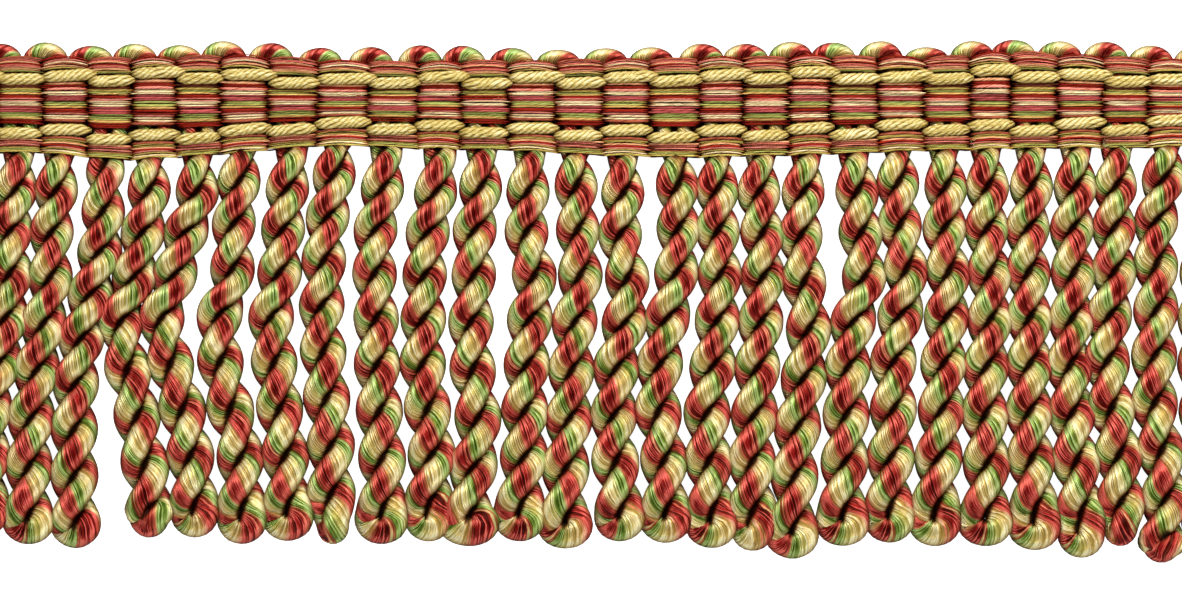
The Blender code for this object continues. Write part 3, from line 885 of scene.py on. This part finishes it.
evenStripes = chart(
    top=(
        ("brown", 98, 10, 1), ("salmon", 87, 12, 2), ("peach", 77, 8, 1), ("darkRed", 69, 8, 1),
        ("salmon", 59, 11, 2), ("peach", 47, 12, 2), ("olive", 38, 6, 1), ("green", 32, 6, 1),
    ),
    inner=(
        ("brown", 66, 16, 2), ("olive", 52, 12, 1), ("green", 42, 10, 1), ("gold", 33, 9, 1),
        ("darkRed", 20, 17, 2), ("pink", 7, 13, 2), ("cream", -7, 15, 3), ("mauve", -25, 20, 3),
        ("green", -43, 15, 3), ("gold", -54, 8, 1), ("darkRed", -65, 14, 3),
    ),
    foot=(
        ("peach", 36, 11, 1), ("salmon", 46, 10, 2), ("brown", 55, 7, 1), ("pink", 62, 7, 1),
        ("brown", 69, 6, 1), ("olive", 78, 11, 2), ("green", 87, 8, 1), ("goldOlive", 96, 10, 1),
    ),
)
oddStripes = chart(
    top=(
        ("darkRed", 98, 13, 2), ("pink", 84, 15, 2), ("cream", 71, 10, 1), ("brown", 62, 8, 1),
        ("peach", 53, 10, 1), ("olive", 43, 11, 1),
    ),
    inner=(
        ("peach", 68, 11, 1), ("darkRed", 56, 13, 2), ("pink", 45, 11, 1), ("cream", 31, 17, 3),
        ("mauve", 11, 22, 3), ("green", -8, 15, 2), ("gold", -21, 9, 1), ("darkRed", -34, 15, 2),
        ("pink", -45, 8, 1), ("cream", -57, 15, 2), ("brown", -70, 12, 1),
    ),
    foot=(
        ("brown", 33, 12, 1), ("olive", 45, 13, 2), ("peach", 55, 8, 1), ("darkRed", 63, 9, 1),
        ("pink", 71, 8, 1), ("olive", 79, 8, 1), ("cream", 87, 8, 1), ("goldOlive", 96, 10, 1),
    ),
)


def cordLevels(ownSet, x):
    # where the two cords of one set lie: a line through the columns in which they lie on the face
    own = [number for number in range(columnCount) if number % 2 == ownSet]
    upper = smoothLine(middles[own], [columnRows[number].upper for number in own], x)
    lower = smoothLine(middles[own], [columnRows[number].lower for number in own], x)
    return upper, lower


def weavePlaces(ownSet):
    # places along one warp, more of them where it lies on the face
    numbers = range(columnCount)
    shares = [heading["overShares" if number % 2 == ownSet else "underShares"] for number in numbers]
    column = np.array([number for number in numbers for share in shares[number]] + [columnCount - 1])
    share = np.concatenate([*shares, [1.0]])
    return column, share, mix(edges[column], edges[column + 1], share)


def bandEdges(x):
    # the band's two edges, which bow out a little over each column
    return smoothLine(edges, tops, x), smoothLine(edges, feet, x)


def warpLine(stripe, ownSet, yarn, random):
    column, share, x = weavePlaces(ownSet)
    isOver = column % 2 == ownSet
    isOuter = stripe.zone != "inner"
    inside = np.minimum(x - edges[column], edges[column + 1] - x)
    # painted shade: a float darkens towards its column's sides, where it dives; an under float is dark within
    # 1 mm of them
    shade = random.uniform(*heading["shade"][isOuter], columnCount)[column]
    paintedShade = heading["paintedShade"][isOuter] * (1 - ease(inside / shade))
    paintedShade = np.where(isOver, paintedShade, 1.0 - ease(inside))
    fromEnd = np.minimum(x - edges[0], edges[-1] - x)

    # its stripe's place in the band
    top, foot = bandEdges(x)
    top = top + heading["bulge"] * np.sin(pi * share)
    upper, lower = cordLevels(ownSet, x)
    level = heading["middle"]
    if stripe.zone == "top":
        level, span = upper, top - upper
    elif stripe.zone == "foot":
        level, span = lower, foot - lower
    elif stripe.place > 0:
        span = upper - level
    else:
        span = level - lower
    place = stripe.place + stripe.width * ((yarn + 0.5) / stripe.yarns - 0.5)
    width = stripe.width / stripe.yarns * np.abs(span)
    bend = random.uniform(-1.0, 1.0, columnCount)[column] * heading["bend"]
    arch = heading["arches"][ownSet] * isOuter
    y = level + place * span + bend * np.sin(pi * share) * isOver + arch * (np.sin(pi * share) - 1)

    # over its own columns and under the others
    rise = (1 - np.abs(2 * share - 1) ** heading["ribPower"]) ** (1 / heading["ribPower"])
    rise = np.where(isOver, rise, np.minimum(rise * heading["fullness"], 1.0))
    z = mix(heading["crossing"][isOuter], np.where(isOver, heading["front"][isOuter], heading["back"]), rise)
    open = ease((inside + heading["lensStart"]) / heading["lensLength"])
    run = np.concatenate([[0.0], np.cumsum(np.hypot(np.diff(x), np.diff(z)))])
    steps = random.uniform(-heading["stagger"], heading["stagger"], len(edges))
    steps[[0, -1]] = 0.0
    stagger = np.interp(x, edges, steps)

    light = 1 + random.uniform(-1.0, 1.0) * heading["unevenDye"]
    # painted light on the foot stripes
    if stripe.zone == "foot":
        light = light * heading["paintedFootLight"]
    light = light + random.uniform(-1.0, 1.0, columnCount)[column] * heading["unevenDye"] / 2
    byStripe, bySet = heading["grainShift"]
    return {
        "points": np.stack([x + stagger, y, z], 1),
        "girth": mix(heading["lens"][isOuter], 1.0, open) * width * heading["overlap"][isOuter],
        "along": run / heading["grainLength"] + byStripe * place + bySet * ownSet,
        # painted shade, none at the cut ends
        "paintedShade": paintedShade * ease(fromEnd / heading["endShade"]),
        "dye": np.column_stack([np.outer(light, warpDyes[stripe.colour]), np.ones(len(x))]),
    }


def makeWarps(tree, material):
    random = np.random.default_rng(heading["seed"])
    pieces = []
    for name, ownSet, stripes in (("firstWarps", 0, oddStripes), ("secondWarps", 1, evenStripes)):
        lines = [warpLine(stripe, ownSet, yarn, random) for stripe in stripes for yarn in range(stripe.yarns)]
        piece = lineObject(name, lines)
        runYarn(piece, tree, heading, heading["lumpSeed"], material)
        pieces.append(dress(piece, "heading", "heading"))
    return pieces


def makeShadeSheet(material):
    # a thin sheet between the weft yarns' two sides, painted near black as the shade seen in the gaps
    low, high = heading["shadeSheetLevels"]
    points = []
    for x in sorted([*edges, *middles]):
        top, foot = bandEdges(x)
        top = top + heading["bulge"] * (x in middles)
        foot = foot + heading["shadeSheetInset"]
        points += [(x, foot, low), (x, top, low), (x, top, high), (x, foot, high)]
    last = len(points) - 4
    faces = [(3, 2, 1, 0), tuple(range(last, last + 4))]
    for start in range(0, last, 4):
        for k in range(4):
            a = start + k
            b = start + (k + 1) % 4
            faces.append((a, b, b + 4, a + 4))
    mesh = bpy.data.meshes.new("paintedShadeSheet")
    mesh.from_pydata((np.array(points) * mm).tolist(), [], faces)
    mesh.materials.append(material)
    return dress(newObject("paintedShadeSheet", mesh), "heading", "heading")


# Gold cords: two in each row take turns over the columns

cord = {
    "plies": 5,
    "plySize": 0.8,
    "twistRadius": 0.52,
    "pitch": -5.8,  # minus for a twist that rises to the right
    "uneven": 0.7,  # turns, and how soon that changes
    "unevenScale": 260.0,
    "darkWithin": 0.68,  # painted shade near the core: shares of the cord's radius
    "litBeyond": 0.98,
    "step": 0.3,
    "sides": 7,
    "front": 3.4,
    "back": 0.45,
    # for the upper row and the lower row, each with one value for each set
    "shift": ((0.7, 0.35), (0.0, -0.15)),
    "past": ((1.25, 0.7), (0.95, 0.65)),  # how far past its column's side a cord comes up
    "dive": 1.0,
    "taper": 2.2,
    # how far from its end the painted shade on a cord reaches
    "shade": 1.9,
    "thin": 0.3,
    "press": 0.3,
    "slope": 0.25,
    "parallax": 0.13,  # nearer to the lens than the floor, so a little lower than it looks
    "spacing": 0.4,
}


def cordLine(row, ownSet):
    # a cord lies on the face over its own columns and a little past them, and thins where it goes down
    x = np.arange(edges[0], edges[-1], cord["spacing"])
    shifted = np.clip(x - cord["shift"][row][ownSet], edges[0], edges[-1])
    column = np.clip(np.searchsorted(edges, shifted) - 1, 0, columnCount - 1)
    share = (shifted - edges[column]) / (edges[column + 1] - edges[column])
    side = np.where(column % 2 == ownSet, 1.0, -1.0)
    inside = side * np.minimum(shifted - edges[column], edges[column + 1] - shifted)
    inside = inside + cord["past"][row][ownSet]
    high = ease(inside / cord["dive"])
    y = cordLevels(ownSet, x)[row] - cord["parallax"] + side * (share - 0.5) * cord["slope"]
    return {
        "points": np.stack([x, y, mix(cord["back"], cord["front"], high)], 1),
        "girth": mix(cord["thin"], 1.0, ease(inside / cord["taper"])),
        "press": mix(cord["press"], 1.0, high),
        # painted shade where the cord dives
        "dark": 1 - ease(inside / cord["shade"]),
    }


def makeCords(tree, material):
    for row, name, node in ((0, "upperCords", "upper_cords"), (1, "lowerCords", "lower_cords")):
        piece = lineObject(name, [cordLine(row, ownSet) for ownSet in (0, 1)])
        runTree(piece, tree, {
            "Plies": cord["plies"], "Ply Size": cord["plySize"] * mm, "Pitch": cord["pitch"] * mm,
            "Twist Radius": cord["twistRadius"] * mm, "Step": cord["step"] * mm, "Sides": cord["sides"],
            "Uneven": cord["uneven"], "Uneven Scale": cord["unevenScale"],
            "Dark Within": cord["darkWithin"], "Lit Beyond": cord["litBeyond"], "Material": material,
        })
        dress(piece, "gold_cord", node)
    print("cords made")


# Studio: pale floor, soft light from above and below the trimming, camera straight over it

studio = {
    "viewMiddle": (-1.33, -29.1),
    "viewWidth": 180.1,
    "lens": 200.0,
    "sensor": 36.0,
    "clip": (0.01, 20.0),
    "floorSize": 4000.0,
    "floorShader": {
        "Base Color": (0.6, 0.6, 0.6, 1.0), "Roughness": 0.9, "Specular IOR Level": 0.1,
        "Emission Color": (1.0, 1.0, 1.0, 1.0),
    },
    "floorGlow": 1.0,  # seen by the camera alone
    "room": {"Color": (1.0, 1.0, 1.0, 1.0), "Strength": 0.16},
    "lightSize": (500.0, 200.0),
    "lightAim": (0.0, -30.0, 0.0),
    "lights": (("lightAbove", (160.0, 480.0, 480.0), 9.0), ("lightBelow", (-100.0, -600.0, 380.0), 2.8)),
}


def makeFloor():
    half = studio["floorSize"] / 2 * mm
    corners = [(-half, -half, 0), (half, -half, 0), (half, half, 0), (-half, half, 0)]
    mesh = bpy.data.meshes.new("floor")
    mesh.from_pydata(corners, [], [(0, 1, 2, 3)])
    material, tree, shader = newMaterial("paleFloor")
    isSeen = put(tree, "ShaderNodeLightPath").outputs["Is Camera Ray"]
    glow = calc(tree, "MULTIPLY", isSeen, studio["floorGlow"])
    giveInputs(tree, shader, {"Emission Strength": glow, **studio["floorShader"]})
    mesh.materials.append(material)
    floor = newObject("floor", mesh)
    return floor


def makeLight(name, place, power):
    light = bpy.data.lights.new(name, "AREA")
    light.shape = "RECTANGLE"
    light.size, light.size_y = (value * mm for value in studio["lightSize"])
    light.energy = power
    made = newObject(name, light)
    made.location = Vector(place) * mm
    aim = Vector(studio["lightAim"]) * mm - Vector(place) * mm
    made.rotation_euler = aim.to_track_quat("-Z", "Y").to_euler()


def makeStudio():
    scene = bpy.context.scene
    camera = newObject("camera", bpy.data.cameras.new("camera"))
    camera.data.lens = studio["lens"]
    camera.data.sensor_width = studio["sensor"]
    away = studio["viewWidth"] / studio["sensor"] * studio["lens"]
    camera.location = (studio["viewMiddle"][0] * mm, studio["viewMiddle"][1] * mm, away * mm)
    camera.data.clip_start, camera.data.clip_end = studio["clip"]
    scene.camera = camera
    world = bpy.data.worlds.new("softRoom")
    scene.world = world
    world.use_nodes = True
    giveInputs(world.node_tree, world.node_tree.nodes["Background"], studio["room"])
    for row in studio["lights"]:
        makeLight(*row)
    scene.view_settings.view_transform = "Standard"
    print("studio made")


makeStudio()
floor = makeFloor()
filaments = filamentGroup()
softYarn = yarnTree()
bandedYarn = yarnMaterial(filaments)
makeSkirt(softYarn, bandedYarn)
makeScallops(softYarn, bandedYarn)
warps = makeWarps(softYarn, warpMaterial(filaments))
shadeSheet = makeShadeSheet(shadeSheetMaterial())
print("heading made")
makeCords(cordTree(), cordMaterial(filaments))
